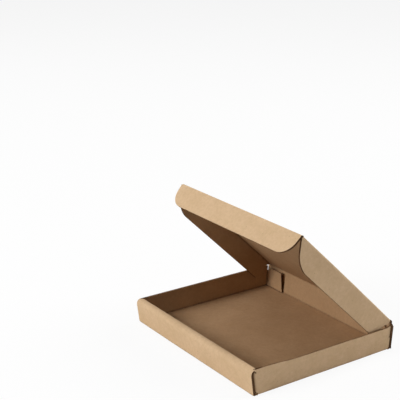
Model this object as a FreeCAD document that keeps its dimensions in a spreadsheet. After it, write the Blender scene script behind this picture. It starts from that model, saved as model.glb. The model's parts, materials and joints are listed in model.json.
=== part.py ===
# Folding shipping box: one die-cut sheet of fluted board, folded into a tray with a hinged lid.
# Frame: X along the hinge crease, Y from the front wall to the back wall, Z up, millimetres.
# The origin is on the underside of the floor, at the middle of the tray.
import FreeCAD, Part
import Sketcher
import os

doc = FreeCAD.newDocument("FoldingShippingBox")

# ---------------------------------------------------------------- driving sizes
sizes = doc.addObject("Spreadsheet::Sheet", "Sizes")
drivingSizes = [
    ("board", 1.5, "thickness of the fluted board"),
    ("boxWidth", 150, "tray outside, along the hinge"),
    ("boxDepth", 134, "tray outside, front to back"),
    ("frontHeight", 19.3, "ridge of the rolled front wall above the table"),
    ("lidRidgeGap", 0.3, "air between the ridge and the closed lid"),
    ("sideDrop", 0.2, "side walls' top below the ridge's top"),
    ("foldRadius", 1.1, "outer radius of a folded crease"),
    ("layerGap", 0.2, "air between layers folded on each other"),
    ("edgeGap", 0.15, "air between a cut edge and the floor"),
    ("creaseGap", 0.1, "air at a hinge crease, so that it turns freely"),
    ("frontFlapLength", 44, "front corner flap, from its fold"),
    ("frontFlapTip", 13, "height of that flap's free end"),
    ("rearFlapLength", 21.5, "rear corner flap, from its fold"),
    ("rearFlapDrop", 1.6, "top of that flap, next to its shoulder, below the side wall's top"),
    ("rearFlapRise", 1.8, "how much higher that flap's free corner is"),
    ("rearFlapStep", 7.2, "slanted shoulder beside that flap's fold"),
    ("rearFlapCut", 4.7, "height that the shoulder takes off at the fold"),
    ("notchLength", 0.6, "slope that lowers the side wall's top behind the ridge"),
    ("flapRound", 1.2, "rounding of the corner flaps' free corners"),
    ("lockSpread", 70, "middle of one locking slot to the middle of the other"),
    ("slotLength", 21, "locking slot in the floor"),
    ("slotGap", 0.25, "air round a locking tab in its slot"),
    ("slotRound", 0.8, "rounding of a slot's corners"),
    ("tabLift", 0.1, "tip of a locking tab above the table"),
    ("tuckGap", 1.6, "air between the closed tuck flap and the inner front panel"),
    ("tuckFloorGap", 1.8, "air under the closed tuck flap"),
    ("lidSideGap", 0.5, "air between each lid side flap and the side wall"),
    ("sideFloorGap", 0.5, "air under the closed lid's side flaps"),
    ("rearFlapGap", 1.3, "air between a closed side flap's rear end and the rear corner flap"),
    ("sideFlapHeel", 2.5, "straight start of a side flap's rear end, beside the back wall"),
    ("sideFlapSlant", 2.4, "height of the slant that follows, to pass the rear corner flap"),
    ("sideFlapSlope", 12, "how far that flap's front end slants back"),
    ("sideFlapCorner", 10, "rounding of that flap's front corner"),
    ("tuckTaper", 3, "how far each end of the tuck flap slants in"),
    ("tuckCorner", 12, "rounding of the tuck flap's corners"),
    ("openAngle", 43.8, "degrees that the lid stands open"),
    ("tuckAngle", 90, "degrees that the tuck flap is folded"),
]
for row, (alias, value, note) in enumerate(drivingSizes, start=1):
    sizes.set(f"A{row}", note)
    sizes.set(f"B{row}", str(value))
    sizes.setAlias(f"B{row}", alias)
doc.recompute()

# ---------------------------------------------------------------- places worked out from them
sideX = "Sizes.boxWidth / 2"
frontY = "-Sizes.boxDepth / 2"
backY = "Sizes.boxDepth / 2"
flapOuterY = "(Sizes.boxDepth / 2 - Sizes.board - Sizes.layerGap)"
flapInnerY = "(Sizes.boxDepth / 2 - 2 * Sizes.board - Sizes.layerGap)"
rollOuterY = "(Sizes.boxDepth / 2 - 2 * Sizes.board - 2 * Sizes.layerGap)"
rollInnerY = "(Sizes.boxDepth / 2 - 3 * Sizes.board - 2 * Sizes.layerGap)"
ridgeUnder = "(Sizes.frontHeight - Sizes.board)"
edgeZ = "(Sizes.board + Sizes.edgeGap)"
flapTopZ = "(Sizes.frontHeight - Sizes.board - Sizes.layerGap)"
sideTop = "(Sizes.frontHeight - Sizes.sideDrop)"
rearFlapTop = "(Sizes.frontHeight - Sizes.sideDrop - Sizes.rearFlapDrop)"
hingeZ = "(Sizes.frontHeight + Sizes.lidRidgeGap + Sizes.board)"
lidLength = "(Sizes.boxDepth - 3 * Sizes.board - 2 * Sizes.layerGap - Sizes.tuckGap)"
lidSideX = "(Sizes.boxWidth / 2 - Sizes.board - Sizes.lidSideGap)"
sideFlapDepth = "(Sizes.frontHeight + Sizes.lidRidgeGap - Sizes.sideFloorGap)"
sideFlapRear = "(2 * Sizes.board + Sizes.layerGap + Sizes.rearFlapGap)"
tuckDepth = "(Sizes.frontHeight + Sizes.lidRidgeGap - Sizes.tuckFloorGap)"


def newBody(label):
    body = doc.addObject("PartDesign::Body", label)
    body.Label = label
    return body


def addSketch(body, name, plane, offset, points):
    """A closed outline on one of the body's own planes; each point is a pair of expressions."""
    sketch = body.newObject("Sketcher::SketchObject", name)
    origin = [item for item in body.Origin.OriginFeatures if item.Role == plane][0]
    sketch.AttachmentSupport = [(origin, "")]
    sketch.MapMode = "FlatFace"
    sketch.setExpression(".AttachmentOffset.Base.z", offset)
    count = len(points)
    step = FreeCAD.Rotation(FreeCAD.Vector(0, 0, 1), 360 / count)
    corners = [FreeCAD.Vector(10, 0, 0)]
    for index in range(1, count):
        corners.append(step.multVec(corners[-1]))
    for index in range(count):
        sketch.addGeometry(Part.LineSegment(corners[index], corners[(index + 1) % count]), False)
    for index in range(count):
        sketch.addConstraint(Sketcher.Constraint("Coincident", index, 2, (index + 1) % count, 1))
    for index, point in enumerate(points):
        for way, expression, start in zip(("DistanceX", "DistanceY"), point, corners[index]):
            number = sketch.addConstraint(Sketcher.Constraint(way, -1, 1, index, 1, start))
            sketch.setExpression(f"Constraints[{number}]", expression)
    doc.recompute()
    return sketch


def addPad(body, name, sketch, length, midplane=False):
    pad = body.newObject("PartDesign::Pad", name)
    pad.Profile = sketch
    pad.Midplane = midplane
    pad.setExpression("Length", length)
    doc.recompute()
    return pad


def addPocket(body, name, sketch, length, upward):
    """A cut from the sketch; the volume shows that it met the board."""
    before = body.Shape.Volume
    pocket = body.newObject("PartDesign::Pocket", name)
    pocket.Profile = sketch
    pocket.Reversed = upward
    pocket.setExpression("Length", length)
    doc.recompute()
    if body.Shape.Volume > before - 0.01:
        raise RuntimeError(f"{name} cuts nothing")
    return pocket


def addMirror(body, name, originals):
    """The same features on the other side of the YZ plane."""
    mirror = body.newObject("PartDesign::Mirrored", name)
    plane = [item for item in body.Origin.OriginFeatures if item.Role == "YZ_Plane"][0]
    mirror.Originals = originals
    mirror.MirrorPlane = (plane, [""])
    body.Tip = mirror
    doc.recompute()
    return mirror


def addFillet(body, name, base, radius, chosen):
    """Rounds the edges of the base feature for which chosen(middle, direction) is true."""
    names = []
    for number, edge in enumerate(base.Shape.Edges, start=1):
        if edge.Curve.TypeId != "Part::GeomLine":
            continue
        start, end = edge.Vertexes[0].Point, edge.Vertexes[-1].Point
        if chosen((start + end) / 2, (end - start).normalize()):
            names.append(f"Edge{number}")
    if not names:
        raise RuntimeError(f"{name} finds no edge")
    fillet = body.newObject("PartDesign::Fillet", name)
    fillet.Base = (base, names)
    fillet.setExpression("Radius", radius)
    body.Tip = fillet
    doc.recompute()
    return fillet


def near(first, second):
    return abs(first - second) < 0.01


# ---------------------------------------------------------------- tray
tray = newBody("tray")

# Back wall, floor, outer front panel, ridge and inner front panel, as one strip seen from the side.
stripSketch = addSketch(tray, "StripSketch", "YZ_Plane", "0 mm", [
    (backY, "0 mm"),
    (backY, hingeZ),
    (f"{backY} - Sizes.board", f"{hingeZ} - Sizes.board"),
    (f"{backY} - Sizes.board", "Sizes.board"),
    (f"{frontY} + Sizes.board", "Sizes.board"),
    (f"{frontY} + Sizes.board", ridgeUnder),
    (f"-{rollOuterY}", ridgeUnder),
    (f"-{rollOuterY}", edgeZ),
    (f"-{rollInnerY}", edgeZ),
    (f"-{rollInnerY}", "Sizes.frontHeight"),
    (frontY, "Sizes.frontHeight"),
    (frontY, "0 mm"),
])
strip = addPad(tray, "Strip", stripSketch, "Sizes.boxWidth", midplane=True)

# The inner front panel stands between the side walls; only the ridge reaches over them.
rollTrimSketch = addSketch(tray, "RollTrimSketch", "YZ_Plane", f"{sideX} - Sizes.board - Sizes.layerGap", [
    (f"-{rollOuterY} - Sizes.layerGap", "Sizes.board"),
    (f"-{rollInnerY} + Sizes.layerGap", "Sizes.board"),
    (f"-{rollInnerY} + Sizes.layerGap", ridgeUnder),
    (f"-{rollOuterY} - Sizes.layerGap", ridgeUnder),
])
rollTrim = addPocket(tray, "RollTrim", rollTrimSketch, "2 * Sizes.board", True)

# A side wall; its top drops behind the ridge so that the ridge's end passes over it.
sideWallSketch = addSketch(tray, "SideWallSketch", "YZ_Plane", f"{sideX} - Sizes.board", [
    (f"-{flapOuterY}", "0 mm"),
    (flapOuterY, "0 mm"),
    (flapOuterY, sideTop),
    (f"-{rollInnerY} + Sizes.layerGap + Sizes.notchLength", sideTop),
    (f"-{rollInnerY} + Sizes.layerGap", flapTopZ),
    (f"-{flapOuterY}", flapTopZ),
])
sideWall = addPad(tray, "SideWall", sideWallSketch, "Sizes.board")

# The front corner flap, caught between the front wall's two panels; it tapers to its free end.
frontFlapSketch = addSketch(tray, "FrontFlapSketch", "XZ_Plane", flapInnerY, [
    (f"{sideX} - Sizes.frontFlapLength", edgeZ),
    (sideX, edgeZ),
    (sideX, flapTopZ),
    (f"{sideX} - Sizes.frontFlapLength", f"{edgeZ} + Sizes.frontFlapTip"),
])
frontFlap = addPad(tray, "FrontFlap", frontFlapSketch, "Sizes.board")

# The rear corner flap, folded against the back wall, with a slanted shoulder beside its fold.
rearFlapSketch = addSketch(tray, "RearFlapSketch", "XZ_Plane", f"-{flapOuterY}", [
    (f"{sideX} - Sizes.rearFlapLength", edgeZ),
    (sideX, edgeZ),
    (sideX, f"{rearFlapTop} - Sizes.rearFlapCut"),
    (f"{sideX} - Sizes.rearFlapStep", rearFlapTop),
    (f"{sideX} - Sizes.rearFlapLength", f"{rearFlapTop} + Sizes.rearFlapRise"),
])
rearFlap = addPad(tray, "RearFlap", rearFlapSketch, "Sizes.board")

# A locking slot through the floor, and the tab of the inner front panel that stands in it.
slotEnd = "Sizes.lockSpread / 2 + Sizes.slotLength / 2"
slotStart = "Sizes.lockSpread / 2 - Sizes.slotLength / 2"
slotSketch = addSketch(tray, "SlotSketch", "XY_Plane", "0 mm", [
    (slotStart, f"-{rollOuterY} - Sizes.slotGap"),
    (slotEnd, f"-{rollOuterY} - Sizes.slotGap"),
    (slotEnd, f"-{rollInnerY} + Sizes.slotGap"),
    (slotStart, f"-{rollInnerY} + Sizes.slotGap"),
])
slot = addPocket(tray, "Slot", slotSketch, "Sizes.board", True)
tabSketch = addSketch(tray, "TabSketch", "XZ_Plane", rollInnerY, [
    (f"{slotStart} + Sizes.slotGap + Sizes.board", "Sizes.tabLift"),
    (f"{slotEnd} - Sizes.slotGap - Sizes.board", "Sizes.tabLift"),
    (f"{slotEnd} - Sizes.slotGap", edgeZ),
    (f"{slotStart} + Sizes.slotGap", edgeZ),
])
tab = addPad(tray, "Tab", tabSketch, "Sizes.board")

traySides = addMirror(tray, "TraySides", [rollTrim, sideWall, frontFlap, rearFlap, slot, tab])

halfWidth = sizes.boxWidth / 2
halfDepth = sizes.boxDepth / 2
foldY = halfDepth - sizes.board - sizes.layerGap
rollY = halfDepth - 3 * sizes.board - 2 * sizes.layerGap


def onFlapEnd(middle, direction):
    """The free corners of the four corner flaps, through their thickness."""
    frontEnd = near(abs(middle.x), halfWidth - sizes.frontFlapLength) and middle.y < 0
    rearEnd = near(abs(middle.x), halfWidth - sizes.rearFlapLength) and middle.y > 0
    inFlap = sizes.board < middle.z < sizes.frontHeight and abs(middle.y) < foldY
    return near(abs(direction.y), 1) and inFlap and (frontEnd or rearEnd)


def onSlotEnd(middle, direction):
    """The corners of the two locking slots, through the floor."""
    slotEndX = abs(abs(abs(middle.x) - sizes.lockSpread / 2) - sizes.slotLength / 2)
    return near(abs(direction.z), 1) and near(middle.z, sizes.board / 2) and near(slotEndX, 0)


def onTrayFold(middle, direction):
    """The outer edges of the tray's folds: round the floor, along the ridge, and at the corners."""
    alongX = near(abs(direction.x), 1)
    alongY = near(abs(direction.y), 1)
    alongZ = near(abs(direction.z), 1)
    floorEdge = near(middle.z, 0) and (
        (alongX and near(abs(middle.y), halfDepth)) or (alongY and near(abs(middle.x), halfWidth))
    )
    ridgeEdge = near(middle.z, sizes.frontHeight) and alongX and (
        near(middle.y, -halfDepth) or near(middle.y, -rollY)
    )
    cornerEdge = alongZ and near(abs(middle.x), halfWidth) and near(abs(middle.y), foldY)
    return floorEdge or ridgeEdge or cornerEdge


flapEnds = addFillet(tray, "FlapEnds", traySides, "Sizes.flapRound", onFlapEnd)
slotEnds = addFillet(tray, "SlotEnds", flapEnds, "Sizes.slotRound", onSlotEnd)
addFillet(tray, "TrayFolds", slotEnds, "Sizes.foldRadius", onTrayFold)

# ---------------------------------------------------------------- lid
# Modelled closed, with its own origin on the hinge crease, then turned open about that crease.
lid = newBody("lid")
panelSketch = addSketch(lid, "PanelSketch", "YZ_Plane", "0 mm", [
    ("-Sizes.creaseGap", "0 mm"),
    ("-Sizes.board - Sizes.creaseGap", "-Sizes.board"),
    (f"-{lidLength} + Sizes.board + Sizes.creaseGap", "-Sizes.board"),
    (f"-{lidLength} + Sizes.creaseGap", "0 mm"),
])
panel = addPad(lid, "Panel", panelSketch, f"2 * {lidSideX}", midplane=True)

# A side flap; its front end stays behind the tuck flap and slants back to a rounded corner, and its
# rear end starts at the back wall and slants forward over the rear corner flap's shoulder.
flapFrontY = f"(-{lidLength} + Sizes.board + 2 * Sizes.creaseGap)"
sideFlapHeelY = "(-Sizes.board - Sizes.layerGap)"
sideFlapSketch = addSketch(lid, "SideFlapSketch", "YZ_Plane", f"{lidSideX} - Sizes.board", [
    (sideFlapHeelY, "0 mm"),
    (flapFrontY, "0 mm"),
    (flapFrontY, "-Sizes.board"),
    (f"{flapFrontY} + Sizes.sideFlapSlope", f"-{sideFlapDepth}"),
    (f"-{sideFlapRear} - Sizes.board", f"-{sideFlapDepth}"),
    (f"-{sideFlapRear}", "-Sizes.board - Sizes.sideFlapHeel - Sizes.sideFlapSlant"),
    (sideFlapHeelY, "-Sizes.board - Sizes.sideFlapHeel"),
])
sideFlap = addPad(lid, "SideFlap", sideFlapSketch, "Sizes.board")
lidSides = addMirror(lid, "LidSides", [sideFlap])

# The same places as numbers, to find the edges that are rounded.
lidLengthValue = sizes.boxDepth - 3 * sizes.board - 2 * sizes.layerGap - sizes.tuckGap
lidSideValue = sizes.boxWidth / 2 - sizes.board - sizes.lidSideGap
flapDepthValue = sizes.frontHeight + sizes.lidRidgeGap - sizes.sideFloorGap
flapCornerY = -lidLengthValue + sizes.board + 2 * sizes.creaseGap + sizes.sideFlapSlope


def onFlapCorner(middle, direction):
    """The front lower corner of each side flap, through its thickness."""
    return near(abs(direction.x), 1) and near(middle.y, flapCornerY) and near(middle.z, -flapDepthValue)


def onLidFold(middle, direction):
    """The outer edge of the fold between the lid panel and each side flap."""
    return near(abs(direction.y), 1) and near(abs(middle.x), lidSideValue) and near(middle.z, 0)


flapCorners = addFillet(lid, "FlapCorners", lidSides, "Sizes.sideFlapCorner", onFlapCorner)
addFillet(lid, "LidFolds", flapCorners, "Sizes.foldRadius", onLidFold)

lid.Placement = FreeCAD.Placement(FreeCAD.Vector(), FreeCAD.Rotation(FreeCAD.Vector(-1, 0, 0), 1))
lid.setExpression(".Placement.Base.y", backY)
lid.setExpression(".Placement.Base.z", hingeZ)
lid.setExpression(".Placement.Rotation.Angle", "Sizes.openAngle * 1 deg")

# ---------------------------------------------------------------- tuck flap
# Modelled flat, in line with the lid, with its own origin on the tuck crease, then folded down.
tuckFlap = newBody("tuck_flap")
tuckSketch = addSketch(tuckFlap, "TuckSketch", "XY_Plane", "-Sizes.board", [
    (f"-{lidSideX}", "-Sizes.creaseGap"),
    (f"-{lidSideX} + Sizes.tuckTaper", f"-{tuckDepth}"),
    (f"{lidSideX} - Sizes.tuckTaper", f"-{tuckDepth}"),
    (lidSideX, "-Sizes.creaseGap"),
])
tuckPad = addPad(tuckFlap, "TuckPad", tuckSketch, "Sizes.board")
tuckMitreSketch = addSketch(tuckFlap, "TuckMitreSketch", "YZ_Plane", "0 mm", [
    ("-Sizes.creaseGap", "0 mm"),
    ("0 mm", "0 mm"),
    ("0 mm", "-Sizes.board - Sizes.creaseGap"),
    ("-Sizes.board - 2 * Sizes.creaseGap", "-Sizes.board - Sizes.creaseGap"),
])
tuckMitre = tuckFlap.newObject("PartDesign::Pocket", "TuckMitre")
tuckMitre.Profile = tuckMitreSketch
tuckMitre.Midplane = True
tuckMitre.setExpression("Length", f"4 * {lidSideX}")
tuckFlap.Tip = tuckMitre
doc.recompute()


tuckDepthValue = sizes.frontHeight + sizes.lidRidgeGap - sizes.tuckFloorGap


def onTuckCorner(middle, direction):
    """The two free corners of the tuck flap, through its thickness."""
    return near(abs(direction.z), 1) and near(middle.y, -tuckDepthValue)


addFillet(tuckFlap, "TuckCorners", tuckMitre, "Sizes.tuckCorner", onTuckCorner)

tuckFlap.Placement = FreeCAD.Placement(FreeCAD.Vector(), FreeCAD.Rotation(FreeCAD.Vector(1, 0, 0), 1))
tuckFlap.setExpression(".Placement.Base.y", f"{backY} - {lidLength} * cos(Sizes.openAngle * 1 deg)")
tuckFlap.setExpression(".Placement.Base.z", f"{hingeZ} + {lidLength} * sin(Sizes.openAngle * 1 deg)")
tuckFlap.setExpression(".Placement.Rotation.Angle", "(Sizes.tuckAngle - Sizes.openAngle) * 1 deg")

# ---------------------------------------------------------------- check and write
doc.recompute()
for item in doc.Objects:
    if "Invalid" in item.State or "Error" in item.State:
        raise RuntimeError(f"{item.Name} failed: {item.State}")
os.makedirs("parts", exist_ok=True)
for body in (tray, lid, tuckFlap):
    shape = body.Shape
    if shape.isNull() or not shape.isValid() or len(shape.Solids) != 1:
        raise RuntimeError(f"{body.Label} is not one valid solid")
    shape.exportStep(f"parts/{body.Label}.step")
    box = shape.BoundBox
    print(body.Label, round(shape.Volume, 1), [round(v, 2) for v in (box.XMin, box.YMin, box.ZMin,
                                                                     box.XMax, box.YMax, box.ZMax)])
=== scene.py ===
# Folding shipping box of brown fluted board, standing half open.
# One die-cut sheet: a tray with a rolled front wall, a hinged lid with side flaps, and a tuck flap.
# Each sheet is drawn as its outer paper, folded up in edit mode, then given the board's thickness.
import json
import math

import bmesh
import bpy
from mathutils import Matrix, Vector


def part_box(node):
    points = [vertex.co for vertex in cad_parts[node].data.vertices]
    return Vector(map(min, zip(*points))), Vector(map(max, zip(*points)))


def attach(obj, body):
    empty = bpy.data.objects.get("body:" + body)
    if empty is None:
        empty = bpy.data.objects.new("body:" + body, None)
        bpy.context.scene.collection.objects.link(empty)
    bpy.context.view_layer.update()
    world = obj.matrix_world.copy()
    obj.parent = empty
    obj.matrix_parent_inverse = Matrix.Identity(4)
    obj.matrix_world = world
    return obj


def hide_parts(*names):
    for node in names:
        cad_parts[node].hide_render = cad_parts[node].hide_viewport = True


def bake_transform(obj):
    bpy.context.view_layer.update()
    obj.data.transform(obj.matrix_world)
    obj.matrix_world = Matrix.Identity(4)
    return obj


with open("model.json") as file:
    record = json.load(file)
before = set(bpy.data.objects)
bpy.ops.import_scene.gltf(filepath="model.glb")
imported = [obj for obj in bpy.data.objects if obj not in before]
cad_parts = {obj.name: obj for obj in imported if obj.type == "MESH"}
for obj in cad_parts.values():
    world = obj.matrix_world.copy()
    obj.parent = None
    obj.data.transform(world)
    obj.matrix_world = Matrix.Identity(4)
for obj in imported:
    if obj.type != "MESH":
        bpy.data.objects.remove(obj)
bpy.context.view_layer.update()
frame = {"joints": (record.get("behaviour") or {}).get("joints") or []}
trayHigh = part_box("tray")[1]
joints = {joint["name"]: Vector(joint["pos_m"]) for joint in frame["joints"]}
hinge, tuckCrease = joints["lid_hinge"], joints["tuck_flap_fold"]
lidLength = (tuckCrease - hinge).length
openAngle = math.atan2(tuckCrease.z - hinge.z, hinge.y - tuckCrease.y)
lidWay = Vector((0, -math.cos(openAngle), math.sin(openAngle)))     # from the hinge to the tuck crease
lidOut = Vector((0, math.sin(openAngle), math.cos(openAngle)))      # the lid's outer side
tiny = 0.00002      # slack in finding a part by its place

board = {
    "thick": 0.0015,
    "fold": 0.0016,         # outer radius of a crease
    "crisp": 0.00155,       # the same at the lid's and tuck flap's creases
    "reach": 0.0016,        # from those creases to where the flat board starts
    "wallReach": 0.0019,    # the same on the back wall, whose inner paper the lid's edge has to clear
    "foldSteps": 4,
    "gap": 0.0002,          # air between layers folded on each other
    "floorGap": 0.00015,
    "liner": 0.00024,       # paper on each side of the flutes
    "groove": 0.0007,       # how far the flutes sit back where the cut crosses them
    "pinch": 0.0003,        # and where it runs along them
    "pitch": 0.0033,        # one flute to the next
    "flutePaper": 0.00018,
    "fluteRoom": 0.0001,    # between a liner and the wavy paper's middle at its crests
    "fluteSet": 0.35,       # share of the groove by which the wavy paper stands back
    "crispen": (0.00013, 0.00050, 0.00013),     # how far a crisp fold stands out past a round one
    "grid": 0.0065,         # size of the faces that let a panel wave
    "wave": 0.0005,
    "waveLength": 0.055,
    "smoothBelow": 35,      # degrees between faces that shade as one
}
thick, fold, gap = board["thick"], board["fold"], board["gap"]


# working on a sheet
def deselectAll():
    if bpy.context.object and bpy.context.object.mode == "EDIT":
        bpy.ops.object.mode_set(mode="OBJECT")
    bpy.ops.object.select_all(action="DESELECT")


def makeActive(thing):
    deselectAll()
    thing.select_set(True)
    bpy.context.view_layer.objects.active = thing


def setPlace():
    # moves the object's place, turn and size into its mesh
    bpy.ops.object.transform_apply(location=True, rotation=True, scale=True)


def middleOf(part):
    if isinstance(part, bmesh.types.BMVert):
        return part.co.copy()
    if isinstance(part, bmesh.types.BMEdge):
        return (part.verts[0].co + part.verts[1].co) / 2
    return part.calc_center_median()


def near(value, place):
    return abs(value - place) < tiny


def pick(kind, test):
    # selects the vertices, edges or faces for which test(part, middle) is true
    bpy.ops.mesh.select_mode(type=kind)
    bpy.ops.mesh.select_all(action="DESELECT")
    data = bpy.context.object.data
    shape = bmesh.from_edit_mesh(data)
    parts = {"VERT": shape.verts, "EDGE": shape.edges, "FACE": shape.faces}[kind]
    chosen = [part for part in parts if test(part, middleOf(part))]
    if not chosen:
        raise RuntimeError(f"nothing to pick on {data.name}")
    for part in chosen:
        part.select_set(True)
    shape.select_flush_mode()
    bmesh.update_edit_mesh(data)


def startSheet(name, low, high, height):
    deselectAll()
    bpy.ops.mesh.primitive_plane_add(size=1)
    sheet = bpy.context.object
    sheet.name = sheet.data.name = name
    sheet.scale = (high[0] - low[0], high[1] - low[1], 1)
    sheet.location = ((high[0] + low[0]) / 2, (high[1] + low[1]) / 2, height)
    setPlace()
    bpy.ops.object.mode_set(mode="EDIT")
    return sheet


def curl(axis, centre, degrees):
    # folds on from the selected edges, right-handed about the axis; spin itself counts the other way
    direction = {"X": (1, 0, 0), "Y": (0, 1, 0), "Z": (0, 0, 1)}[axis]
    bpy.ops.mesh.spin(steps=board["foldSteps"], angle=-math.radians(degrees), center=centre, axis=direction)


def pull(x=0.0, y=0.0, z=0.0):
    bpy.ops.mesh.extrude_region_move(TRANSFORM_OT_translate={"value": (x, y, z)})


def shift(x=0.0, y=0.0, z=0.0):
    bpy.ops.transform.translate(value=(x, y, z))


def drag(run, x=0.0, y=0.0):
    # moves the selection, and less and less of what is joined to it, up to that distance
    bpy.ops.transform.translate(value=(x, y, 0), use_proportional_edit=True, proportional_size=run,
                                proportional_edit_falloff="LINEAR", use_proportional_connected=True)


def roundCorner(radius, steps, test):
    pick("VERT", test)
    bpy.ops.mesh.bevel(offset=radius, offset_type="OFFSET", segments=steps, affect="VERTICES")


def removeFaces(test):
    pick("FACE", test)
    bpy.ops.mesh.delete(type="FACE")


def trimPast(point, normal):
    # cuts off what the selected faces have beyond the plane
    bpy.ops.mesh.bisect(plane_co=point, plane_no=normal, clear_outer=True, threshold=tiny / 2)


def cutAt(axis, place, test=None):
    # divides the faces that the plane crosses
    if test:
        pick("FACE", test)
    else:
        bpy.ops.mesh.select_all(action="SELECT")
    point, normal = Vector((0, 0, 0)), Vector((0, 0, 0))
    point["XYZ".index(axis)] = place
    normal["XYZ".index(axis)] = 1
    bpy.ops.mesh.bisect(plane_co=point, plane_no=normal, threshold=tiny / 2)


def cutGrid(axis, low, high):
    count = max(1, round((high - low) / board["grid"]))
    for step in range(1, count):
        cutAt(axis, low + (high - low) * step / count)


def faceOut(sheet, outward):
    # one shared side, then turned so that the widest panel faces the given way
    bpy.ops.mesh.select_all(action="SELECT")
    bpy.ops.mesh.normals_make_consistent(inside=False)
    shape = bmesh.from_edit_mesh(sheet.data)
    balance = sum(face.normal.dot(outward) * face.calc_area() for face in shape.faces)
    if balance < 0:
        bpy.ops.mesh.flip_normals()


def layUvs(sheet, turned):
    # lays each panel flat: U runs across the flutes and V along them; turned(face, middle) marks
    # the panels whose flutes stand up
    shape = bmesh.from_edit_mesh(sheet.data)
    layer = shape.loops.layers.uv.verify()
    for face in shape.faces:
        normal, middle = face.normal, face.calc_center_median()
        for loop in face.loops:
            place = loop.vert.co
            if abs(normal.x) > max(abs(normal.y), abs(normal.z)):
                loop[layer].uv = (place.y, place.z)
            elif turned and turned(face, middle):
                loop[layer].uv = (place.x, place.z)
            elif abs(normal.y) > abs(normal.z):
                loop[layer].uv = (place.z, place.x)
            else:
                loop[layer].uv = (place.y, place.x)
    bmesh.update_edit_mesh(sheet.data)


def endDrawing(sheet, outward, turned=None):
    faceOut(sheet, outward)
    layUvs(sheet, turned)
    bpy.ops.object.mode_set(mode="OBJECT")
    for finish in (outerFinish, innerFinish, edgeFinish, openEdgeFinish):
        sheet.data.materials.append(finish)


def applyAll(sheet):
    makeActive(sheet)
    for modifier in list(sheet.modifiers):
        bpy.ops.object.modifier_apply(modifier=modifier.name)


def waveBoard(sheet, strength, still):
    # a slow swell; still(place) is 0 where the sheet has to keep its place
    swell = bpy.data.textures.new("boardSwell", "CLOUDS")
    swell.noise_scale = board["waveLength"]
    group = sheet.vertex_groups.new(name="free")
    for vertex in sheet.data.vertices:
        group.add([vertex.index], still(vertex.co), "REPLACE")
    displace = sheet.modifiers.new("swell", "DISPLACE")
    displace.texture = swell
    displace.texture_coords = "LOCAL"
    displace.strength = strength
    displace.vertex_group = "free"


def thicken(sheet):
    # also applies the swell
    walls = sheet.modifiers.new("thickness", "SOLIDIFY")
    walls.thickness = thick
    walls.offset = -1
    walls.use_even_offset = True
    walls.use_quality_normals = True
    walls.material_offset = 1
    walls.material_offset_rim = 2
    applyAll(sheet)


def crispen(plane, foldMiddle, way):
    # pushes the outer paper of a fold out towards its corner, which lies the given way from the
    # fold's middle in that plane
    first, second = ("XYZ".index(axis) for axis in plane)
    nearest, furthest, slack = 0.75, 1.3, 0.18      # shares of the fold's radius, and radians
    for step, out in enumerate(board["crispen"]):
        angle = math.pi / 2 * (step + 1) / board["foldSteps"]
        reach = Vector((way[0] * math.sin(angle), way[1] * math.cos(angle)))

        def onStep(vert, middle):
            arm = Vector((middle[first], middle[second])) - Vector(foldMiddle)
            return nearest < arm.length / fold < furthest and arm.angle(reach) < slack

        pick("VERT", onStep)
        move = Vector((0, 0, 0))
        move[first], move[second] = reach * out
        shift(*move)


def openEdges(sheet, joined, darkCut):
    # sinks the middle of each cut edge, so that the two papers stand proud of the flutes;
    # joined(middle) is true where the board goes on into a crease; the other test picks the cuts that take
    # the dark open finish and the deeper groove: those that cross the flutes, and on the tray painted shade
    # at the rear flaps' ends
    bpy.ops.object.mode_set(mode="EDIT")
    for darkPass, depth in ((False, board["pinch"]), (True, board["groove"])):
        def wanted(face, middle):
            return face.material_index == 2 and not joined(middle) and darkCut(middle) == darkPass

        shape = bmesh.from_edit_mesh(sheet.data)
        if any(wanted(face, face.calc_center_median()) for face in shape.faces):
            pick("FACE", wanted)
            if darkPass:
                sheet.active_material_index = 3
                bpy.ops.object.material_slot_assign()
            bpy.ops.mesh.inset(thickness=board["liner"], depth=-depth, use_even_offset=False)
    bpy.ops.object.mode_set(mode="OBJECT")


def addFlutes(start, end, inward):
    # the wavy middle paper, seen end-on in the cut edge that runs from start to end
    start, end, inward = Vector(start), Vector(end), Vector(inward).normalized()
    along = (end - start).normalized()
    waves = max(1, round((end - start).length / board["pitch"]))
    half = (end - start).length / (2 * waves)
    rise = 3 * (thick / 2 - board["liner"] - board["fluteRoom"])    # smoothing keeps a third of it
    deselectAll()
    bpy.ops.mesh.primitive_grid_add(x_subdivisions=2 * waves, y_subdivisions=1, size=1)
    ribbon = bpy.context.object
    ribbon.scale = ((end - start).length, thick, 1)
    setPlace()
    bpy.ops.object.mode_set(mode="EDIT")
    pick("VERT", lambda vert, middle: round(middle.x / half + waves) % 2 == 0)
    shift(z=rise)
    pick("VERT", lambda vert, middle: round(middle.x / half + waves) % 2 == 1)
    shift(z=-rise)
    pick("VERT", lambda vert, middle: abs(middle.x) > half * (waves - 0.5))
    shift(z=-rise * 2 / 3)      # the ends stay as they are drawn
    bpy.ops.object.mode_set(mode="OBJECT")
    smooth = ribbon.modifiers.new("round", "SUBSURF")
    smooth.levels = smooth.render_levels = 2
    paper = ribbon.modifiers.new("paper", "SOLIDIFY")
    paper.thickness = board["flutePaper"]
    paper.offset = 0
    applyAll(ribbon)
    turn = Matrix((along, inward, along.cross(inward))).transposed().to_4x4()
    middle = (start + end) / 2 + inward * (thick / 2 + board["groove"] * board["fluteSet"])
    ribbon.matrix_world = Matrix.Translation(middle) @ turn
    setPlace()
    ribbon.data.materials.append(fluteFinish)
    return ribbon


def joinInto(sheet, extras):
    makeActive(sheet)
    for extra in extras:
        extra.select_set(True)
    bpy.ops.object.join()


def placeAt(sheet, origin, way, out):
    # for a sheet drawn with its run along Y and its outer side up
    makeActive(sheet)
    turn = Matrix((way.cross(out), way, out)).transposed().to_4x4()
    sheet.matrix_world = Matrix.Translation(origin) @ turn
    setPlace()


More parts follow.
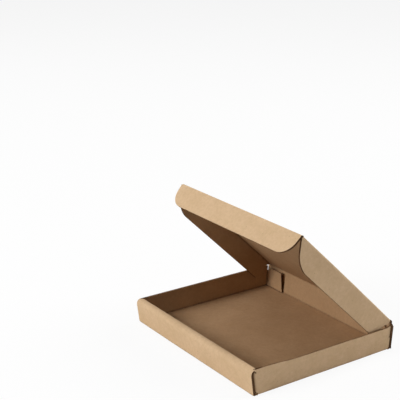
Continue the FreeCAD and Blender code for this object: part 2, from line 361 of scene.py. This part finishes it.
def finishSheet(sheet, body, *nodes):
    makeActive(sheet)
    bpy.ops.object.shade_smooth_by_angle(angle=math.radians(board["smoothBelow"]))
    settle = sheet.modifiers.new("settle", "WEIGHTED_NORMAL")
    settle.keep_sharp = True
    bpy.ops.object.modifier_apply(modifier=settle.name)
    if body:
        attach(sheet, body)
    if nodes:
        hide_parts(*nodes)


# finishes, each a mix of noises that darken or lighten the paper, with painted shade that darkens them in
# crevices
def srgb(red, green, blue):
    def linear(value):
        value /= 255
        return value / 12.92 if value <= 0.04045 else ((value + 0.055) / 1.055) ** 2.4
    return (linear(red), linear(green), linear(blue), 1)


def addNode(tree, kind, values=None, **settings):
    node = tree.nodes.new(kind)
    for name, setting in settings.items():
        setattr(node, name, setting)
    for name, value in (values or {}).items():
        node.inputs[name].default_value = value
    return node


def spread(tree, source, fromLow, fromHigh, toLow, toHigh):
    ranged = addNode(tree, "ShaderNodeMapRange", {1: fromLow, 2: fromHigh, 3: toLow, 4: toHigh})
    tree.links.new(source, ranged.inputs[0])
    return ranged.outputs[0]


def mixColour(tree, amount, first, second):
    mix = addNode(tree, "ShaderNodeMix", data_type="RGBA", blend_type="MIX")
    for socket, value in ((mix.inputs[0], amount), (mix.inputs[6], first), (mix.inputs[7], second)):
        if isinstance(value, bpy.types.NodeSocket):
            tree.links.new(value, socket)
        else:
            socket.default_value = value
    return mix.outputs[2]


# noises: scale, detail and roughness, then the values between which they come in
paperGrain = {
    "cloud": (55, 3, 0.55, 0.32, 0.68),         # slow uneven browning
    "mottle": (420, 5, 0.65, 0.35, 0.72),       # pulp a couple of millimetres across
    "fibre": (1500, 3, 0.7, 0.55, 0.78),
    "fleck": (900, 1, 0.5, 0.74, 0.8),
    "fibreStretch": (1, 0.16, 0.4),
    "creviceShadeReach": 0.0016,
    "creviceShadeSamples": 6,
    "creviceShadeRange": (0.5, 0.95),                # painted shade: fully dark below the first, clear above the second
    "bumpStrength": 0.35,
    "bumpHeight": 0.00012,
    "ribHeight": 0.00006,
}
ribScale = 1 / (20 * board["pitch"])            # about six flutes to a rib


def paperFinish(name, look):
    finish = bpy.data.materials.new(name)
    finish.use_nodes = True
    tree = finish.node_tree
    shader = tree.nodes["Principled BSDF"]
    shader.inputs["Roughness"].default_value = look["rough"]
    shader.inputs["Specular IOR Level"].default_value = look["gloss"]
    place = addNode(tree, "ShaderNodeTexCoord")

    def noise(layer, stretch=(1, 1, 1)):
        scale, detail, rough = paperGrain[layer][:3]
        mapping = addNode(tree, "ShaderNodeMapping", {"Scale": stretch})
        tree.links.new(place.outputs["Object"], mapping.inputs["Vector"])
        texture = addNode(tree, "ShaderNodeTexNoise", {"Scale": scale, "Detail": detail, "Roughness": rough})
        tree.links.new(mapping.outputs[0], texture.inputs["Vector"])
        return texture.outputs["Fac"]

    def shown(layer, source, strength):
        low, high = paperGrain[layer][3:]
        return spread(tree, source, low, high, 0, strength)

    mottle = noise("mottle")
    base = mixColour(tree, shown("cloud", noise("cloud"), 1), look["deep"], look["pale"])
    base = mixColour(tree, shown("mottle", mottle, look["mottle"]), base, look["dark"])
    fibre = noise("fibre", paperGrain["fibreStretch"])
    base = mixColour(tree, shown("fibre", fibre, look["fibre"]), base, look["bright"])
    base = mixColour(tree, shown("fleck", noise("fleck"), look["fleck"]), base, look["fleckAndShadeTone"])
    # painted shade: ambient occlusion darkens the paper towards the fleck tone in creases, corners and gaps
    # between parts, where shade falls
    creviceShade = addNode(tree, "ShaderNodeAmbientOcclusion", {"Distance": paperGrain["creviceShadeReach"]},
                      samples=paperGrain["creviceShadeSamples"])
    creviceShadeAmount = spread(tree, creviceShade.outputs["AO"], *paperGrain["creviceShadeRange"], look["creviceShade"], 0)
    base = mixColour(tree, creviceShadeAmount, base, look["fleckAndShadeTone"])
    tree.links.new(base, shader.inputs["Base Color"])

    # the pulp's roughness, over a slight ribbing along the flutes
    ribs = addNode(tree, "ShaderNodeTexWave", {"Scale": ribScale, "Distortion": 0.0})
    tree.links.new(place.outputs["UV"], ribs.inputs["Vector"])
    grain = addNode(tree, "ShaderNodeBump", {"Strength": paperGrain["bumpStrength"],
                                             "Distance": paperGrain["bumpHeight"]})
    tree.links.new(mottle, grain.inputs["Height"])
    washboard = addNode(tree, "ShaderNodeBump", {"Strength": look["washboard"],
                                                 "Distance": paperGrain["ribHeight"]})
    tree.links.new(ribs.outputs["Fac"], washboard.inputs["Height"])
    tree.links.new(grain.outputs[0], washboard.inputs["Normal"])
    tree.links.new(washboard.outputs[0], shader.inputs["Normal"])
    return finish


# each look's crevice strength is how strongly painted shade darkens it in crevices; its fleck tone is both
# the real flecks' colour and the colour of that shade
outerLook = {
    "pale": srgb(215, 184, 147), "deep": srgb(207, 176, 138), "dark": srgb(181, 148, 112),
    "bright": srgb(229, 203, 171), "fleckAndShadeTone": srgb(124, 92, 63),
    "mottle": 0.35, "fibre": 0.30, "fleck": 0.5, "washboard": 0.25, "rough": 0.85, "gloss": 0.25,
    "creviceShade": 0.6,
}
innerLook = dict(outerLook, pale=srgb(180, 146, 110), deep=srgb(172, 138, 102), dark=srgb(146, 113, 81),
                 bright=srgb(196, 163, 127), fleckAndShadeTone=srgb(92, 66, 44), washboard=0.35, creviceShade=0.75)
edgeLook = {
    "pale": srgb(139, 106, 76), "deep": srgb(104, 76, 53), "dark": srgb(66, 46, 31),
    "bright": srgb(170, 136, 100), "fleckAndShadeTone": srgb(60, 42, 30),
    "mottle": 0.6, "fibre": 0.4, "fleck": 0.5, "washboard": 0.0, "rough": 0.95, "gloss": 0.1,
    "creviceShade": 0.0,
}
pinchedLook = dict(edgeLook, pale=srgb(156, 124, 93), deep=srgb(138, 108, 79), dark=srgb(106, 80, 57),
                   bright=srgb(174, 141, 107))
fluteLook = dict(edgeLook, pale=srgb(150, 116, 82), deep=srgb(126, 95, 66))
outerFinish = paperFinish("kraftOuterPaper", outerLook)
innerFinish = paperFinish("kraftInnerPaper", innerLook)
edgeFinish = paperFinish("pinchedEdge", pinchedLook)
openEdgeFinish = paperFinish("openEdge", edgeLook)
fluteFinish = paperFinish("flutedMiddle", fluteLook)
print("finishes mixed")


# the tray; pairs are left and right
tray = {
    "bottomIn": 0.0017,         # the end walls' feet stand this far inside their tops
    "frontOut": 0.0008,         # the front panel's foot is this much further out than the back wall's
    "frontLean": 0.0029,        # how far the front wall leans out, up to the hinge's height
    "backLean": 0.0017,
    "ridgeTop": 0.0197,
    "sideTop": (0.0196, 0.0199),    # at the front corner
    # from each place on, the right wall's top is that much lower
    "sideSag": ((-0.052, 0.0003), (-0.045, 0.0004), (-0.038, 0.0006), (-0.031, 0.0003), (-0.025, 0.0002),
                (-0.005, 0.0001), (0.025, 0.0002)),
    "frontFlap": 0.044,
    "frontFlapTop": 0.0176,
    "frontFlapTip": 0.01465,
    "rearFlap": 0.0226,
    "rearFlapTop": 0.0194,      # at its free corner
    "rearShoulder": 0.0072,     # the flap's top slants down to its fold
    "rearShoulderTop": (0.0150, 0.0100),
    "rearShoulderEnd": 0.0181,
    "cornerRise": 0.0010,       # the right side wall's top rises to its rear corner
    "cornerRun": 0.0030,
    "cornerRunOn": 0.55,        # share of a fold by which the side walls pass the corner flaps' folds
    "rearRunOn": (0.1, 0.55),   # the same at the rear
    "footTaper": 0.2,           # share of a fold that the floor's tongues lose at their inner end
    "relief": 0.0050,           # depth of the vee cut from each end of the ridge
    "flapRound": 0.0012,
    "flapRoundSteps": 5,
    "slotMiddle": 0.035,
    "slotLength": 0.021,
    "slotGap": 0.00025,
    "slotRear": 0.00008,        # the slot's rear edge, ahead of the inner panel's face, which leans
    "tabTip": 0.0001,
    "standOff": 0.0025,         # left rear corner flap's top corner stands this far off the back wall
    "standOffRun": 0.017,       # and the flap bends over this distance
    "stillTop": 0.004,          # the board keeps flat this near the lid's crease
    "stillEnd": 0.012,          # and settles over this run to the ends of the end walls
}
halfX, creaseY = trayHigh.x, trayHigh.y - tray["bottomIn"]
flatX, flatY = halfX - fold, creaseY - fold
frontY = creaseY + tray["frontOut"]         # the front panel's crease
flapY = creaseY - thick - gap               # the corner flaps' outer faces
cornerY = flapY - fold                      # where the side walls turn into the corner flaps
rollOuter = creaseY - 2 * thick - 2 * gap   # the inner front panel's two faces
rollInner = rollOuter - thick
edgeZ = thick + board["floorGap"]           # and its lower edge
foldTop = tray["ridgeTop"] - fold           # where the ridge's rear fold starts
brow = frontY - rollInner - fold            # radius of its front fold
veeX = halfX - tray["relief"]
wallTop = hinge.z - board["wallReach"]
slotLow = tray["slotMiddle"] - tray["slotLength"] / 2
slotHigh = tray["slotMiddle"] + tray["slotLength"] / 2


def besideSlot(face, middle):
    return slotLow < abs(middle.x) < slotHigh


def cutSlots():
    for x in (slotLow, slotHigh):
        cutAt("X", x)
        cutAt("X", -x)
    slotFront, slotRear = -rollOuter - tray["slotGap"], -rollInner - tray["slotRear"]
    cutAt("Y", slotFront, besideSlot)
    cutAt("Y", slotRear, besideSlot)
    removeFaces(lambda face, middle: besideSlot(face, middle) and slotFront < middle.y < slotRear)


def widenFloor():
    # the floor runs out to the full width under the end walls
    for y in (cornerY, cornerY + fold):
        cutAt("Y", -y)
        cutAt("Y", y)
    for side in (-1, 1):
        pick("EDGE", lambda edge, middle: near(middle.x, side * flatX) and abs(middle.y) > cornerY)
        pull(x=side * fold)
        pick("VERT", lambda vert, middle: near(middle.x, side * halfX) and near(abs(middle.y), cornerY))
        shift(x=-side * fold * tray["footTaper"])


def addSideWalls():
    # up to where the corner flaps stop, then their own top
    for side in (-1, 1):
        shoulderTop = tray["rearShoulderTop"][side > 0]
        pick("EDGE", lambda edge, middle: near(middle.x, side * flatX) and abs(middle.y) < cornerY)
        curl("Y", (side * flatX, 0, fold), -90 * side)
        pull(z=shoulderTop - fold)
        pull(z=tray["frontFlapTop"] - shoulderTop)
    for side in (-1, 1):
        pick("EDGE", lambda edge, middle: near(middle.x, side * halfX)
             and middle.z > tray["frontFlapTop"] - tiny and abs(middle.y) < cornerY - tiny)
        pull(z=tray["sideTop"][side > 0] - tray["frontFlapTop"])
        # beside the folds of its corner flaps the wall runs on a little
        pick("EDGE", lambda edge, middle: near(middle.x, side * halfX)
             and middle.z > tray["frontFlapTop"] + tiny and near(middle.y, -cornerY))
        pull(y=-fold * tray["cornerRunOn"])
        cutAt("Y", cornerY - tray["cornerRun"], lambda face, middle: middle.x * side > flatX)
    pick("VERT", lambda vert, middle: near(middle.x, halfX)
         and middle.z > tray["sideTop"][1] - tiny and middle.y > cornerY - tiny)
    shift(z=tray["cornerRise"])
    for side, share in zip((-1, 1), tray["rearRunOn"]):
        pick("EDGE", lambda edge, middle: near(middle.x, side * halfX)
             and middle.z > tray["rearShoulderTop"][side > 0] and near(middle.y, cornerY))
        pull(y=fold * share)


def addFrontFlap(side):
    pick("EDGE", lambda edge, middle: near(middle.x, side * halfX) and near(middle.y, -cornerY)
         and fold < middle.z < tray["frontFlapTop"])
    curl("Z", (side * flatX, -cornerY, 0), -90 * side)
    pull(x=-side * (tray["frontFlap"] - fold))
    pick("VERT", lambda vert, middle: near(middle.x, side * (halfX - tray["frontFlap"]))
         and middle.z > tray["rearShoulderTop"][side > 0] + tiny)
    shift(z=tray["frontFlapTip"] - tray["frontFlapTop"])


def addRearFlap(side):
    # its top rises steeply to the shoulder's end, then gently to its free corner
    shoulderTop = tray["rearShoulderTop"][side > 0]
    shoulderX = side * (halfX - tray["rearShoulder"])
    pick("EDGE", lambda edge, middle: near(middle.x, side * halfX) and near(middle.y, cornerY)
         and fold < middle.z < shoulderTop)
    curl("Z", (side * flatX, cornerY, 0), 90 * side)
    pull(x=-side * (tray["rearShoulder"] - fold))
    pick("VERT", lambda vert, middle: near(middle.x, shoulderX) and middle.y > cornerY
         and near(middle.z, shoulderTop))
    shift(z=tray["rearShoulderEnd"] - shoulderTop)
    pick("EDGE", lambda edge, middle: near(middle.x, shoulderX) and middle.y > cornerY and middle.z > fold)
    pull(x=-side * (tray["rearFlap"] - tray["rearShoulder"]))
    pick("VERT", lambda vert, middle: near(middle.x, side * (halfX - tray["rearFlap"]))
         and middle.y > cornerY and near(middle.z, tray["rearShoulderEnd"]))
    shift(z=tray["rearFlapTop"] - tray["rearShoulderEnd"])


def freeCorner(vert, middle):
    frontTip = (middle.y < -cornerY and near(abs(middle.x), halfX - tray["frontFlap"])
                and len(vert.link_edges) == 2)
    rearTip = middle.y > cornerY and near(abs(middle.x), halfX - tray["rearFlap"])
    return middle.z > fold - tiny and (frontTip or rearTip)


def innerPanel(face, middle):
    return near(middle.y, -rollInner) and middle.z > tiny and abs(middle.x) < halfX - tiny


def rollFrontWall():
    # outer panel, ridge and inner panel, which is narrower
    pick("EDGE", lambda edge, middle: near(middle.y, fold - frontY) and middle.z < tiny)
    curl("X", (0, fold - frontY, fold), -90)
    pull(z=foldTop - brow)
    curl("X", (0, brow - frontY, tray["ridgeTop"] - brow), -90)
    curl("X", (0, -rollInner - fold, foldTop), -90)
    pull(z=edgeZ - tray["ridgeTop"] + fold)
    endX = halfX - thick - gap
    cutAt("X", endX, innerPanel)
    cutAt("X", -endX, innerPanel)
    removeFaces(lambda face, middle: innerPanel(face, middle) and abs(middle.x) > endX)


def cutVees():
    # a vee out of each end of the ridge, deepest at its rear fold
    def onRidge(face, middle):
        upright = face.normal.z ** 2 < 0.03
        atRidge = middle.y < -rollInner + tiny and middle.z > foldTop - brow
        return atRidge and not upright and abs(middle.x) < halfX - tiny

    for side in (-1, 1):
        pick("FACE", onRidge)
        trimPast((side * halfX, -flatY, 0), (side * (flatY - rollInner), tray["relief"], 0))
        pick("FACE", innerPanel)
        trimPast((side * veeX, 0, foldTop), (side, 0, 1))


def addTabs():
    # they lock the inner panel in the slots
    tabLow, tabHigh = slotLow + tray["slotGap"], slotHigh - tray["slotGap"]
    for x in (tabLow, tabHigh):
        for side in (-1, 1):
            cutAt("X", side * x, lambda face, middle: near(middle.y, -rollInner) and middle.z > edgeZ)
    pick("EDGE", lambda edge, middle: near(middle.y, -rollInner) and near(middle.z, edgeZ)
         and tabLow < abs(middle.x) < tabHigh)
    pull(z=tray["tabTip"] - edgeZ)
    for side in (-1, 1):
        for x, way in ((tabLow, 1), (tabHigh, -1)):
            pick("VERT", lambda vert, middle: near(middle.z, tray["tabTip"]) and near(middle.x, side * x))
            shift(x=side * way * thick)


def addBackWall():
    # up to the lid's crease
    pick("EDGE", lambda edge, middle: near(middle.y, flatY) and middle.z < tiny)
    curl("X", (0, flatY, fold), 90)
    pull(z=wallTop - fold)


def sagSideWall():
    for start, drop in tray["sideSag"]:
        pick("VERT", lambda vert, middle: near(middle.x, halfX) and middle.y > start
             and middle.z > tray["frontFlapTop"] + tiny)
        shift(z=-drop)


def leanWalls(sheet):
    # leans the end walls out with a cage, of which only the tops of the end rows move
    bpy.ops.object.add(type="LATTICE", location=(0, 0, hinge.z / 2))
    cage = bpy.context.object
    size = (2 * trayHigh.x, 2 * trayHigh.y, hinge.z)
    cage.scale = size
    cage.data.points_u, cage.data.points_v, cage.data.points_w = 2, 12, 2
    cage.data.interpolation_type_u = cage.data.interpolation_type_v = "KEY_LINEAR"
    cage.data.interpolation_type_w = "KEY_LINEAR"
    endRows = 0.4       # this far from the middle of the cage, which is 1 long
    for point in cage.data.points:
        if point.co.z > 0 and abs(point.co.y) > endRows:
            point.co_deform.y += (tray["backLean"] if point.co.y > 0 else -tray["frontLean"]) / size[1]
    bpy.context.view_layer.update()
    lean = sheet.modifiers.new("lean", "LATTICE")
    lean.object = cage
    applyAll(sheet)
    bpy.data.objects.remove(cage)


def leant(y, z):
    # where a place on the upright tray comes to be once the walls lean
    return y + (tray["backLean"] if y > 0 else -tray["frontLean"]) * z / hinge.z


def springFlap():
    # the left rear corner flap has sprung off the back wall
    freeX, corner = -(halfX - tray["rearFlap"]), tray["flapRound"]
    bpy.ops.object.mode_set(mode="EDIT")
    pick("VERT", lambda vert, middle: freeX - corner - tiny < middle.x < freeX + corner / 10
         and tray["rearFlapTop"] - corner - tiny < middle.z < tray["rearFlapTop"] + tiny
         and flapY - tiny < middle.y < flapY + tray["backLean"] + tiny)
    drag(tray["standOffRun"], y=-tray["standOff"])
    bpy.ops.object.mode_set(mode="OBJECT")


def trayStill(place):
    if place.z > wallTop - tray["stillTop"]:
        return 0
    if abs(place.y) > cornerY + fold:
        return min(1, (halfX - abs(place.x)) / tray["stillEnd"])
    return 1


def crispenFolds():
    # the bottom folds and the rolled wall's rear fold are crisper than the rest
    bpy.ops.object.mode_set(mode="EDIT")
    for side in (-1, 1):
        crispen("XZ", (side * flatX, fold), (side, -1))
    crispen("YZ", (leant(fold - frontY, fold), fold), (-1, -1))
    crispen("YZ", (leant(flatY, fold), fold), (1, -1))
    crispen("YZ", (leant(-rollInner - fold, foldTop), foldTop), (1, 1))
    bpy.ops.object.mode_set(mode="OBJECT")


def trayCutsAcrossAndShaded(middle):
    # the ridge's ends and the end walls' sides past the corner folds, which cross the flutes; and the rear
    # flaps' ends, which run along the flutes but take the dark open finish as painted shade
    slack, veeSlack = 0.0004, 0.001     # how far from its edge a cut's middle may lie
    onRidge = middle.y < -rollInner and middle.z > foldTop and abs(middle.x) > veeX - veeSlack
    # painted shade: the rear flaps' free ends run along the flutes, yet take the dark open finish because
    # they lie deep in shade
    flapEnd = middle.y > cornerY and abs(abs(middle.x) - halfX + tray["rearFlap"]) < slack
    runOn = cornerY + fold * tray["cornerRunOn"] - tiny
    return onRidge or flapEnd or (abs(middle.x) > halfX - slack and abs(middle.y) > runOn)


def trayFlutes():
    # along the side walls' tops, the right one's only behind its sag, and up the end walls' sides
    mid = thick / 2
    flutes = []
    for side in (-1, 1):
        x, top, start = side * (halfX - mid), tray["sideTop"][side > 0], -cornerY
        if side > 0:
            start = tray["sideSag"][-1][0]
            top -= sum(drop for place, drop in tray["sideSag"])
        flutes.append(addFlutes((x, start, top), (x, cornerY - tray["cornerRun"], top), (0, 0, -1)))
        for y, top in ((mid - frontY, tray["ridgeTop"] - brow), (creaseY - mid, wallTop)):
            flutes.append(addFlutes((side * halfX, leant(y, fold), fold), (side * halfX, leant(y, top), top),
                                    (-side, 0, 0)))
    return flutes


def makeTray():
    sheet = startSheet("tray_board", (-flatX, fold - frontY), (flatX, flatY), 0)
    cutSlots()
    widenFloor()
    addSideWalls()
    for side in (-1, 1):
        addFrontFlap(side)
        addRearFlap(side)
    roundCorner(tray["flapRound"], tray["flapRoundSteps"], freeCorner)
    rollFrontWall()
    cutVees()
    addTabs()
    addBackWall()
    cutGrid("X", -flatX, flatX)
    cutGrid("Y", -cornerY, cornerY)
    cutGrid("Z", fold, min(tray["rearShoulderTop"]))
    sagSideWall()
    endDrawing(sheet, Vector((0, 0, -1)),
               lambda face, middle: abs(face.normal.y) > 0.5 and near(abs(middle.y), flapY))
    leanWalls(sheet)
    springFlap()
    waveBoard(sheet, board["wave"], trayStill)
    thicken(sheet)
    crispenFolds()
    openEdges(sheet, lambda middle: middle.z > wallTop - tiny * 5 and abs(middle.x) < halfX - thick - gap,
              trayCutsAcrossAndShaded)
    joinInto(sheet, trayFlutes())
    finishSheet(sheet, "tray", "tray")
    return sheet


trayBoard = makeTray()
print("tray board:", len(trayBoard.data.polygons), "faces")


# the lid, drawn closed; pairs are left and right
lidForm = {
    "halfWidth": 0.073,
    "flapDepth": 0.0189,
    "flapRear": 0.0020,         # from the hinge crease to the side flap
    "flapHeel": ((0.0022, 0.0045), (0.0043, 0.0067)),   # between these depths a flap's rear end slants
                                                        # off the back wall
    "flapHeelRun": 0.0031,
    "flapRearSlant": 0.0043,
    "flapSlope": (0.0100, 0.0130),  # how far the flaps' front ends slant back
    "flapCorner": 0.010,
    "flapCornerSteps": 7,
    "flapFront": 0.0017,        # the side flap stops this far behind the tuck crease
    "flutesFrom": 0.007,        # its lower edge shows flutes from here behind its front slant
    "waveShare": 1.5,           # the lid swells more than the tray
    "stillEnd": 0.015,          # and settles over this run to its creases
}
lidX, lidTop = lidForm["halfWidth"], hinge.z
lidFlatX = lidX - fold
lidRear, lidFront = hinge.y - board["reach"], hinge.y - lidLength + board["reach"]
flapRear = hinge.y - lidForm["flapRear"]
flapFront = hinge.y - lidLength + lidForm["flapFront"]
flapLow = lidTop - lidForm["flapDepth"]


def addLidFlap(side):
    # beside its ends the lid runs out to its full width
    pick("EDGE", lambda edge, middle: near(middle.x, side * lidFlatX)
         and (middle.y > flapRear or middle.y < flapFront))
    pull(x=side * fold)
    pick("EDGE", lambda edge, middle: near(middle.x, side * lidFlatX) and flapFront < middle.y < flapRear)
    curl("Y", (side * lidFlatX, 0, lidTop - fold), 90 * side)
    pull(z=flapLow - lidTop + fold)
    for endY, slant in ((flapFront, lidForm["flapSlope"][side > 0]), (flapRear, -lidForm["flapRearSlant"])):
        pick("VERT", lambda vert, middle: middle.z < flapLow + tiny and near(middle.y, endY)
             and middle.x * side > 0)
        shift(y=slant)


def slantHeel(side):
    # the rear end stays upright to the first depth, then slants fast to the second and slowly below
    heel, slant = lidForm["flapHeel"][side > 0], lidForm["flapRearSlant"]
    for depth in heel:
        cutAt("Z", lidTop - depth, lambda face, middle: middle.x * side > lidFlatX)
    for depth, run in zip(heel, (0, lidForm["flapHeelRun"])):
        pick("VERT", lambda vert, middle: near(middle.z, lidTop - depth)
             and middle.y > flapRear - slant and middle.x * side > 0)
        shift(y=slant * (depth - fold) / (lidForm["flapDepth"] - fold) - run)


def lidStill(place):
    return max(0, min(1, min(lidRear - place.y, place.y - lidFront) / lidForm["stillEnd"]))


def makeLid():
    sheet = startSheet("lid_board", (-lidFlatX, lidFront), (lidFlatX, lidRear), lidTop)
    cutAt("Y", flapRear)
    cutAt("Y", flapFront)
    for side in (-1, 1):
        addLidFlap(side)
    for side in (-1, 1):
        slantHeel(side)
    roundCorner(lidForm["flapCorner"], lidForm["flapCornerSteps"],
                lambda vert, middle: middle.z < flapLow + tiny
                and near(middle.y, flapFront + lidForm["flapSlope"][middle.x > 0]))
    cutGrid("X", -lidFlatX, lidFlatX)
    cutGrid("Y", flapFront, flapRear)
    cutGrid("Z", flapLow, lidTop - fold)
    endDrawing(sheet, Vector((0, 0, 1)))
    waveBoard(sheet, board["wave"] * lidForm["waveShare"], lidStill)
    thicken(sheet)
    flapEnd = flapRear - lidForm["flapRearSlant"]
    openEdges(sheet, lambda middle: middle.y > lidRear - tiny * 5 or middle.y < lidFront + tiny * 5,
              lambda middle: middle.z < lidTop - thick and middle.y < flapEnd - tiny)
    flutes = []
    for side in (-1, 1):
        x = side * (lidX - thick / 2)
        start = flapFront + lidForm["flapSlope"][side > 0] + lidForm["flutesFrom"]
        flutes.append(addFlutes((x, start, flapLow), (x, flapEnd, flapLow), (0, 0, 1)))
    joinInto(sheet, flutes)
    # turned open about the hinge crease
    makeActive(sheet)
    turn = Matrix.Rotation(-openAngle, 4, "X")
    sheet.matrix_world = Matrix.Translation(hinge) @ turn @ Matrix.Translation(-hinge)
    setPlace()
    finishSheet(sheet, "lid", "lid")
    return sheet


lidBoard = makeLid()
print("lid board:", len(lidBoard.data.polygons), "faces")


# the tuck flap
tuckForm = {
    "depth": 0.0184,
    "taper": 0.0019,
    "corner": 0.0112,
    "cornerSteps": 9,
    "stillEnd": 0.01,       # it starts to swell over this run from its crease
}


def makeTuckFlap():
    start, end = board["reach"], tuckForm["depth"]
    sheet = startSheet("tuck_flap_board", (-lidX, start), (lidX, end), 0)
    for side in (-1, 1):
        pick("VERT", lambda vert, middle: middle.y > end - tiny and middle.x * side > 0)
        shift(x=-side * tuckForm["taper"])
    roundCorner(tuckForm["corner"], tuckForm["cornerSteps"], lambda vert, middle: middle.y > end - tiny)
    cutGrid("X", -lidX + tuckForm["taper"], lidX - tuckForm["taper"])
    cutGrid("Y", start, end)
    endDrawing(sheet, Vector((0, 0, 1)))
    waveBoard(sheet, board["wave"],
              lambda place: max(0, min(1, (place.y - start) / tuckForm["stillEnd"])))
    thicken(sheet)
    openEdges(sheet, lambda middle: middle.y < start + tiny * 5, lambda middle: True)
    placeAt(sheet, tuckCrease, -lidOut, lidWay)
    finishSheet(sheet, "tuck_flap", "tuck_flap")
    return sheet


tuckBoard = makeTuckFlap()
print("tuck flap board:", len(tuckBoard.data.polygons), "faces")


# creases where the lid and the tuck flap turn, drawn bent as they stand
creaseForm = {
    "tuckIn": 0.0003,       # the tuck crease's ends stand in, to pass the side walls of the closed box
    "flareRun": 1.8,        # times its start, the distance over which a crease flares
}


def makeCrease(name, halfWidth, origin, way, out, turn, start, flare):
    # starts that far back and arrives along way, turns away from out by the given angle, and leaves
    # again; flare is how much further its right end starts than it leaves
    radius, reach = board["crisp"], board["reach"]
    lead = radius * math.tan(turn / 2)
    sheet = startSheet(name, (-halfWidth, -start), (halfWidth, -lead), 0)
    pick("EDGE", lambda edge, middle: middle.y > -lead - tiny)
    curl("X", (0, -lead, -radius), -math.degrees(turn))
    pull(y=(reach - lead) * math.cos(turn), z=-(reach - lead) * math.sin(turn))
    if flare:
        pick("VERT", lambda vert, middle: middle.y < tiny - start and middle.x > 0)
        drag(start * creaseForm["flareRun"], x=flare)
    cutGrid("X", -halfWidth, halfWidth)
    endDrawing(sheet, Vector((0, 0, 1)))
    thicken(sheet)
    openEdges(sheet, lambda middle: abs(middle.x) < halfWidth - tiny * 5, lambda middle: True)
    placeAt(sheet, origin, way, out)
    finishSheet(sheet, None)
    return sheet


wallWay = Vector((0, tray["backLean"], hinge.z)).normalized()
wallOut = Vector((0, wallWay.z, -wallWay.y))
wallReach = board["wallReach"] / wallWay.z
lidCrease = makeCrease("lid_crease", lidX, hinge, wallWay, wallOut, wallWay.angle(lidWay), wallReach,
                       trayHigh.x - lidX)
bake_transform(lidCrease)
tuckFold = makeCrease("tuck_flap_crease", lidX - creaseForm["tuckIn"], tuckCrease, lidWay, lidOut,
                      math.pi / 2, board["reach"], 0)
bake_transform(tuckFold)
print("creases done")


# pale floor, soft light and camera
stage = {
    "floorSize": 14,
    "floorDrop": 0.0004,
    "floorWhite": 0.9,
    "glow": 0.90,               # share of plain white that the camera sees in the floor
    "sky": 0.01,
    "azimuth": 55.308,
    "elevation": 17.877,
    "distance": 1.12108,
    "target": (-0.30837, 0.15453, 0),
    "lens": 91.65,
    "sensor": 36,
    "lampDistance": 1.6,
}
# each lamp's azimuth, elevation, size and power
lamps = {
    "key": (-11, 30.5, (0.5, 0.45), 16.6),
    "top": (0, 88, (1.2, 1.0), 2),
    "back": (168, 45, (1.2, 1.0), 16),
    "rightFill": (90, 25, (1.2, 1.0), 3.0),
    "leftFill": (-90, 45, (1.2, 1.0), 6.6),
}


def makeFloor():
    deselectAll()
    bpy.ops.mesh.primitive_plane_add(size=stage["floorSize"], location=(0, 0, -stage["floorDrop"]))
    floor = bpy.context.object
    floor.name = floor.data.name = "studio_floor"
    setPlace()
    finish = bpy.data.materials.new("studioFloor")
    finish.use_nodes = True
    tree = finish.node_tree
    tree.nodes.clear()
    matt = addNode(tree, "ShaderNodeBsdfDiffuse", {"Color": (stage["floorWhite"],) * 3 + (1,)})
    white = addNode(tree, "ShaderNodeEmission", {"Color": (1, 1, 1, 1), "Strength": 1})
    rays = addNode(tree, "ShaderNodeLightPath")
    share = addNode(tree, "ShaderNodeMath", {1: stage["glow"]}, operation="MULTIPLY")
    mix = addNode(tree, "ShaderNodeMixShader")
    out = addNode(tree, "ShaderNodeOutputMaterial")
    tree.links.new(rays.outputs["Is Camera Ray"], share.inputs[0])
    tree.links.new(share.outputs[0], mix.inputs[0])
    tree.links.new(matt.outputs[0], mix.inputs[1])
    tree.links.new(white.outputs[0], mix.inputs[2])
    tree.links.new(mix.outputs[0], out.inputs["Surface"])
    floor.data.materials.append(finish)


def makeWorld():
    world = bpy.data.worlds.new("studio")
    bpy.context.scene.world = world
    world.use_nodes = True
    tree = world.node_tree
    back = tree.nodes["Background"]
    back.inputs["Color"].default_value = (1, 1, 1, 1)
    # white to the camera and in reflections, and almost no light otherwise
    rays = addNode(tree, "ShaderNodeLightPath")
    seen = addNode(tree, "ShaderNodeMath", operation="MAXIMUM")
    strength = addNode(tree, "ShaderNodeMapRange", {1: 0, 2: 1, 3: stage["sky"], 4: 1})
    tree.links.new(rays.outputs["Is Camera Ray"], seen.inputs[0])
    tree.links.new(rays.outputs["Is Glossy Ray"], seen.inputs[1])
    tree.links.new(seen.outputs[0], strength.inputs[0])
    tree.links.new(strength.outputs[0], back.inputs["Strength"])


def directionFrom(azimuth, elevation):
    turn, lift = math.radians(azimuth), math.radians(elevation)
    return Vector((math.sin(turn) * math.cos(lift), -math.cos(turn) * math.cos(lift), math.sin(lift)))


def addLamp(name, azimuth, elevation, size, power):
    light = bpy.data.lights.new(name, "AREA")
    light.shape = "RECTANGLE"
    light.size, light.size_y = size
    light.energy = power
    lamp = bpy.data.objects.new(name, light)
    bpy.context.collection.objects.link(lamp)
    lamp.location = directionFrom(azimuth, elevation) * stage["lampDistance"]
    lamp.rotation_euler = (-lamp.location).to_track_quat("-Z", "Y").to_euler()


def makeCamera():
    camera = bpy.data.objects.new("camera", bpy.data.cameras.new("camera"))
    bpy.context.collection.objects.link(camera)
    target = Vector(stage["target"])
    camera.location = target + directionFrom(stage["azimuth"], stage["elevation"]) * stage["distance"]
    camera.rotation_euler = (target - camera.location).to_track_quat("-Z", "Y").to_euler()
    camera.data.lens = stage["lens"]
    camera.data.sensor_width = stage["sensor"]
    bpy.context.scene.camera = camera


makeFloor()
makeWorld()
for name, settings in lamps.items():
    addLamp(name, *settings)
makeCamera()
bpy.context.scene.view_settings.view_transform = "Standard"
print("stage set")
